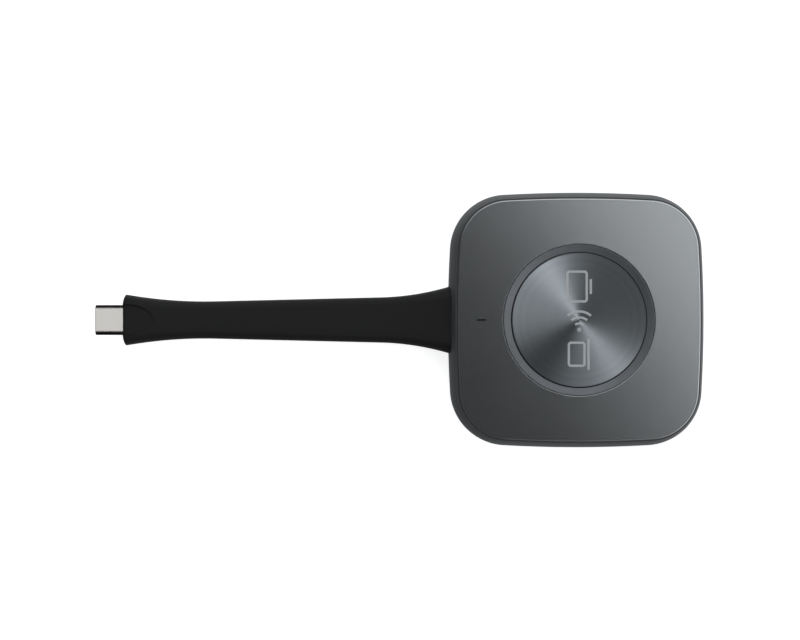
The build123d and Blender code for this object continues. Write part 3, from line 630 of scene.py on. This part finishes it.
def closed_bar(name, rings):
    """A piece from rings that meet end to end, so that it has no ends to close."""
    count, around, _ = rings.shape
    points = rings.reshape(-1, 3)
    ring = np.arange(count)[:, None] * around
    next_ring = ((np.arange(count) + 1) % count)[:, None] * around
    step = np.arange(around)[None, :]
    following = (step + 1) % around
    quads = np.stack([ring + step, ring + following, next_ring + following, next_ring + step], -1)
    faces = quads.reshape(-1, 4)
    if inside_out(points, np.concatenate([faces[:, :3], faces[:, [0, 2, 3]]])):
        faces = faces[:, ::-1]
    mesh = bpy.data.meshes.new(name)
    mesh.from_pydata(points.tolist(), [], faces.tolist())
    return show(name, mesh)


# ---------------------------------------------------------------------------
# Pieces
# ---------------------------------------------------------------------------

def shortening_copy(node, finish):
    """A new piece with the shape of a CAD node and this finish, standing in the node's place while the
    node is hidden."""
    source = NODES[node]
    mesh = source.data.copy()
    mesh.name = node + "_pressed"
    mesh.transform(source.matrix_world)
    mesh.materials.clear()
    mesh.materials.append(finish.material)
    piece = show(mesh.name, mesh)
    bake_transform(piece)
    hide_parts(node)


def bending_pair(name, root_rings, tip_rings, finish, node):
    """The two lengths of the strap or of the lead, one at the puck and one at the plug, in place of the
    node.
    """
    root = tube_mesh(name + "_root_length", root_rings)
    tip = tube_mesh(name + "_boot_length", tip_rings)
    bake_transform(root)
    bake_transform(tip)
    for piece in (root, tip):
        piece.data.materials.append(finish.material)
        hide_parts(node)


class PUCK_OT_plate(bpy.types.Operator):
    """Finish the metal plate and the bonding films"""

    bl_idname = "puck.plate"
    bl_label = "Plate"

    def execute(self, context):
        """Anodised metal on top, films under the plate, the foot and the disc."""
        paint(anodised_plate(context.scene.puck_colours), "top_plate")
        paint(moulded("bonding_film", (0.55, 0.55, 0.52), 0.6), "plate_adhesive", "pad_adhesive",
              "cap_adhesive")
        return {"FINISHED"}


class PUCK_OT_button(bpy.types.Operator):
    """Finish the disc, the ring round it and the guide parts below"""

    bl_idname = "puck.button"
    bl_label = "Button and Light Ring"

    def execute(self, context):
        """Spun disc, smoked ring, plain guide parts and springs."""
        colours = context.scene.puck_colours
        paint(spun_disc(colours), "button_cap")
        paint(smoked_ring(colours), "light_ring")
        paint(moulded("guide_plastic", (0.055, 0.055, 0.058)), "button_carrier", "button_bracket",
              "switch_plunger", "strap_clamp", "plug_inner_mould")
        wire = metal("spring_wire", (0.58, 0.57, 0.55), 0.25, 0.0002)
        paint(wire, "plug_latch_springs")
        shortening_copy("return_springs", wire)
        shortening_copy("switch_dome", wire)
        return {"FINISHED"}


class PUCK_OT_housing(bpy.types.Operator):
    """Finish the shell, the frame, the foot and the screws"""

    bl_idname = "puck.housing"
    bl_label = "Housing"

    def execute(self, context):
        """Painted plastic, silicone foot and plated screws."""
        paint(shell_paint(context.scene.puck_colours), "lower_shell", "upper_frame")
        paint(elastomer("foot_silicone", (0.020, 0.020, 0.021), 0.62, 0.0004, 0.00003), "foot_pad")
        paint(metal("plated_screw", (0.52, 0.51, 0.49), 0.3), "case_screws", "board_screws",
              "bracket_screws", "clamp_screws")
        return {"FINISHED"}


class PUCK_OT_strap(bpy.types.Operator):
    """Make the moulded strap in two lengths"""

    bl_idname = "puck.strap"
    bl_label = "Strap"

    def execute(self, context):
        """One length reaches from the puck to the strap's middle, the other from there to the plug."""
        sizes = context.scene.puck_strap
        rubber = elastomer("strap_rubber", tuple(context.scene.puck_colours.strap))
        root_rings = strap_rings(sizes, -STRAP_HIGH.x, STRAP_MIDDLE, 150)
        tip_rings = strap_rings(sizes, STRAP_MIDDLE, STRAP_FRONT - 0.0005, 270)
        tip_rings = np.concatenate([tip_rings, nose_rings(sizes, tip_rings[-1], 8)])
        bending_pair("strap", root_rings, tip_rings, rubber, "strap")
        return {"FINISHED"}


class PUCK_OT_lead(bpy.types.Operator):
    """Make the lead inside the strap and finish its fittings"""

    bl_idname = "puck.lead"
    bl_label = "Lead"

    def execute(self, context):
        """The lead is drawn in the same two lengths as the strap."""
        jacket = elastomer("lead_jacket", (0.03, 0.03, 0.03), 0.5)
        radius = (CABLE_HIGH.y - CABLE_LOW.y) / 2
        root_rings = rod_rings(-CABLE_HIGH.x, STRAP_MIDDLE, radius, 80)
        tip_rings = rod_rings(STRAP_MIDDLE, -CABLE_LOW.x, radius, 60)
        bending_pair("lead", root_rings, tip_rings, jacket, "inner_cable")
        paint(metal("crimped_brass", (0.70, 0.55, 0.28), 0.3), "cable_ferrule")
        paint(moulded("connector_resin", (0.10, 0.10, 0.095)), "cable_plug", "board_socket",
              "led_connector", "switch_base")
        return {"FINISHED"}


class PUCK_OT_plug(bpy.types.Operator):
    """Finish the plug"""

    bl_idname = "puck.plug"
    bl_label = "Plug"

    def execute(self, context):
        """Nickel shell, black insulator and gold contacts."""
        paint(nickel_plate(context.scene.puck_colours), "plug_shell")
        paint(moulded("plug_resin", (0.012, 0.012, 0.012), 0.4), "plug_insulator")
        paint(metal("contact_gold", (0.88, 0.62, 0.24), 0.22, 0.0002), "plug_contacts")
        return {"FINISHED"}


class PUCK_OT_electronics(bpy.types.Operator):
    """Finish the boards and what stands on them"""

    bl_idname = "puck.electronics"
    bl_label = "Electronics"

    def execute(self, context):
        """Boards, packages, shields and antennas."""
        paint(circuit_board(), "main_board", "ring_board", "indicator_board", "plug_board")
        paint(moulded("package_epoxy", (0.018, 0.018, 0.019), 0.5), "processor", "memory_chip",
              "power_chip", "plug_chip")
        paint(metal("shield_tin", (0.60, 0.59, 0.56), 0.34, 0.0008), "shield_can", "wifi_module",
              "switch_cover")
        paint(metal("antenna_alloy", (0.66, 0.60, 0.48), 0.3), "antenna_side", "antenna_rear")
        paint(metal("heat_plate", (0.68, 0.69, 0.70), 0.4, 0.0005, (0.1, 1, 1)), "heat_spreader")
        paint(moulded("thermal_pad", (0.38, 0.44, 0.52), 0.7), "thermal_pad")
        paint(moulded("ferrite", (0.05, 0.05, 0.052), 0.6), "inductors")
        paint(moulded("ceramic", (0.40, 0.30, 0.20), 0.45), "capacitors")
        paint(moulded("led_package", (0.80, 0.78, 0.62), 0.3), "ring_leds", "indicator_led")
        paint(moulded("flex_film", (0.42, 0.20, 0.04), 0.3), "led_flex", "indicator_flex")
        paint(moulded("slot_lens", (0.012, 0.013, 0.014), 0.2), "indicator_lens")
        return {"FINISHED"}


def rounded_rectangle(middle_u, middle_v, half_u, half_v, corner=0.6, steps=9):
    """Points round a rectangle with quarter circles at its corners."""
    turns = [np.linspace(0, pi / 2, steps) + quarter * pi / 2 for quarter in range(4)]
    angle = np.concatenate(turns)
    side_u = np.repeat([1, -1, -1, 1], steps)
    side_v = np.repeat([1, 1, -1, -1], steps)
    u = middle_u + side_u * (half_u - corner) + corner * np.cos(angle)
    v = middle_v + side_v * (half_v - corner) + corner * np.sin(angle)
    return np.stack([u, v], -1)


def arc(middle_u, radius, angles):
    """Points of a circle on the mark's line, at these angles in radians."""
    return np.stack([middle_u + radius * np.cos(angles), radius * np.sin(angles)], -1)


def on_disc(points):
    """Millimetres along and above the mark's line, as metres on the disc: it reads towards +Y."""
    return np.stack([-points[:, 1], points[:, 0]], -1) * 0.001


class PUCK_OT_mark(bpy.types.Operator):
    """Print a plain row of signs on the disc: a laptop, waves and a screen"""

    bl_idname = "puck.mark"
    bl_label = "Mark"

    def execute(self, context):
        """Each line is a thin bar of ink, a hundredth of a millimetre proud of the metal."""
        half_stroke = context.scene.puck_mark.stroke / 2
        low, high = CAP_HIGH.z - 0.00001, CAP_HIGH.z + 0.00001
        ink = moulded("mark_ink", tuple(context.scene.puck_mark.ink), 0.4)
        waves_at = -2.6
        fan = np.radians(np.linspace(-40, 40, 25))
        whole_turn = np.radians(np.linspace(0, 360, 25)[:-1])
        loops = {
            "mark_laptop_screen": rounded_rectangle(-9.2, 0.7, 3.1, 2.1),
            "mark_screen": rounded_rectangle(9.0, 0.6, 4.0, 2.6),
            "mark_dot": arc(waves_at, 0.25, whole_turn),
        }
        runs = {
            "mark_laptop_base": np.array([[-13.4, -2.5], [-11.9, -2.5], [-6.5, -2.5], [-5.0, -2.5]]),
            "mark_screen_base": np.array([[7.0, -3.1], [8.4, -3.1], [9.6, -3.1], [11.0, -3.1]]),
        }
        for number, reach in enumerate((1.7, 3.3, 4.9)):
            runs["mark_wave_%d" % number] = arc(waves_at, reach, fan)
        pieces = []
        for name, path in loops.items():
            pieces.append(closed_bar(name, line_rings(on_disc(path), half_stroke, low, high)))
        for name, path in runs.items():
            rings = line_rings(on_disc(path), half_stroke, low, high, closed=False)
            pieces.append(tube_mesh(name, rings))
        for piece in pieces:
            piece.data.materials.append(ink.material)
            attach(piece, "button")
        return {"FINISHED"}


# ---------------------------------------------------------------------------
# Studio
# ---------------------------------------------------------------------------

def area_light(name, size, power, place, target, turn=0.0):
    """A rectangular soft box at a place, facing a target, turned about its own axis."""
    data = bpy.data.lights.new(name, "AREA")
    data.shape = "RECTANGLE"
    data.size, data.size_y = size
    data.energy = power
    light = bpy.data.objects.new(name, data)
    facing = (Vector(target) - Vector(place)).to_track_quat("-Z", "Y")
    light.rotation_euler = facing.to_euler()
    light.rotation_euler.rotate_axis("Z", turn)
    light.location = place
    bpy.context.scene.collection.objects.link(light)


def sheet(name, corners, finish):
    """A flat four-sided piece of the stage."""
    mesh = bpy.data.meshes.new(name)
    mesh.from_pydata(corners, [], [(0, 1, 2, 3)])
    mesh.materials.append(finish.material)
    piece = show(name, mesh)
    return piece


# The two round panels in the sky: how far they stand from overhead, and how far from its middle
# a panel starts to fade and has faded.
PANEL_TILT = radians(46)
PANEL_EDGE = (radians(20), radians(29))
BACK_PANEL_TOWARD = radians(129)
FRONT_PANEL_TOWARD = radians(302)
# The room's light fades in between these heights of the direction's Z.
HORIZON_FADE = (0.60, 0.25)


def studio_air(studio):
    """The room's light by direction: dark overhead, paler round the horizon and most so at the
    right and the back, with two broad round panels high at the back left and the front right."""
    world = bpy.data.worlds.new("studio_air")
    world.use_nodes = True
    air = Tree(world.node_tree)
    x, y, z = air.parts(air.node("ShaderNodeTexCoord", output="Generated"))
    side = studio.side_light + studio.side_right * x + studio.side_back * y
    side = side.maths("MAXIMUM", side, 0.01)
    glow = studio.overhead + air.fade(z, *HORIZON_FADE) * side
    full, gone = PANEL_EDGE
    out, up = np.sin(PANEL_TILT), np.cos(PANEL_TILT)
    panels = ((BACK_PANEL_TOWARD, studio.panel), (FRONT_PANEL_TOWARD, studio.front_panel))
    for toward, brightness in panels:
        nearness = x * (np.cos(toward) * out) + y * (np.sin(toward) * out) + z * up
        glow = glow + brightness * air.fade(nearness, np.cos(gone), np.cos(full))
    background = air.nodes["Background"]
    air.connect(glow, background.inputs["Strength"])
    background.inputs["Color"].default_value = (0.97, 1.0, 1.02, 1)
    return world


# The long soft box: which way it lies, how far beside the camera's axis, how high, and its size.
STRIP_ALONG = radians(125)
STRIP_ASIDE = 0.322
STRIP_HEIGHT = 1.0
STRIP_SIZE = (0.205, 2.4)
FLOOR_HALF = 3.0
FLOOR_LEVEL = -0.0002
# The black flags beside the plug: how far from its middle, from where to where, and how high.
FLAG_ASIDE = 0.012
FLAG_SPAN = (-0.1385, -0.1242)
FLAG_HEIGHT = 0.022


class PUCK_OT_stage(bpy.types.Operator):
    """Set the floor, the lights and the camera"""

    bl_idname = "puck.stage"
    bl_label = "Stage"

    def execute(self, context):
        """A pale lit floor, the camera above, a long soft box, a card and flags for the plug."""
        studio = context.scene.puck_studio
        paper = Finish("pale_floor", Base_Color=(0.9, 0.9, 0.9), Roughness=0.9,
                       Emission_Color=(1, 1, 1), Emission_Strength=studio.floor_glow)
        paper.feed(Base_Color=paper.shades(paper.noise(0.05, detail=2.0), (0.9, 0.9, 0.9), 0.01))
        corners = [(side_x * FLOOR_HALF, side_y * FLOOR_HALF, FLOOR_LEVEL)
                   for side_x, side_y in ((-1, -1), (1, -1), (1, 1), (-1, 1))]
        floor = sheet("floor", corners, paper)
        floor.visible_glossy = False

        camera_data = bpy.data.cameras.new("camera")
        camera_data.lens = studio.lens
        camera_data.clip_start = 0.01
        camera = bpy.data.objects.new("camera", camera_data)
        camera.location = (studio.camera_x, 0, studio.camera_z)
        context.scene.collection.objects.link(camera)
        context.scene.camera = camera

        aside = STRIP_ALONG - pi / 2
        strip_x = studio.camera_x + np.cos(aside) * STRIP_ASIDE
        strip_y = np.sin(aside) * STRIP_ASIDE
        area_light("strip", STRIP_SIZE, studio.strip, (strip_x, strip_y, STRIP_HEIGHT),
                   (strip_x, strip_y, 0), turn=aside)
        area_light("plug_card", (0.16, 0.12), studio.card, (-0.196, 0, 0.30), (-0.130, 0, 0.008))

        far, near = FLAG_SPAN
        for y in (-FLAG_ASIDE, FLAG_ASIDE):
            black = Finish("black_flag", Base_Color=(0, 0, 0), Specular_IOR_Level=0)
            corners = [(far, y, 0), (near, y, 0), (near, y, FLAG_HEIGHT), (far, y, FLAG_HEIGHT)]
            flag = sheet("flag", corners, black)
            flag.visible_camera = flag.visible_shadow = flag.visible_diffuse = False
            flag.visible_transmission = flag.visible_volume_scatter = False
        context.scene.world = studio_air(studio)
        context.scene.view_settings.view_transform = "Standard"
        return {"FINISHED"}


PIECES = (PUCK_OT_plate, PUCK_OT_button, PUCK_OT_housing, PUCK_OT_strap, PUCK_OT_lead, PUCK_OT_plug,
          PUCK_OT_electronics, PUCK_OT_mark, PUCK_OT_stage)


class PUCK_PT_panel(bpy.types.Panel):
    """Lists the puck's settings and operators"""

    bl_idname = "PUCK_PT_panel"
    bl_label = "Sharing Puck"
    bl_space_type = "VIEW_3D"
    bl_region_type = "UI"
    bl_category = "Puck"

    def draw(self, context):
        """Settings first, then one button for each operator."""
        scene = context.scene
        for group in (scene.puck_strap, scene.puck_mark, scene.puck_colours, scene.puck_studio):
            box = self.layout.box()
            for name in group.__annotations__:
                box.prop(group, name)
        for piece in PIECES:
            self.layout.operator(piece.bl_idname)


CLASSES = (StrapSizes, MarkSettings, FinishColours, StudioSettings, *PIECES, PUCK_PT_panel)


def register():
    """Registers the classes and the scene's settings."""
    for cls in CLASSES:
        bpy.utils.register_class(cls)
    bpy.types.Scene.puck_strap = PointerProperty(type=StrapSizes)
    bpy.types.Scene.puck_mark = PointerProperty(type=MarkSettings)
    bpy.types.Scene.puck_colours = PointerProperty(type=FinishColours)
    bpy.types.Scene.puck_studio = PointerProperty(type=StudioSettings)


def unregister():
    """Takes the settings and the classes away again."""
    del bpy.types.Scene.puck_strap
    del bpy.types.Scene.puck_mark
    del bpy.types.Scene.puck_colours
    del bpy.types.Scene.puck_studio
    for cls in reversed(CLASSES):
        bpy.utils.unregister_class(cls)


def main():
    """Builds everything in order."""
    register()
    for piece in PIECES:
        group, name = piece.bl_idname.split(".")
        getattr(getattr(bpy.ops, group), name)()


if __name__ == "__main__":
    main()
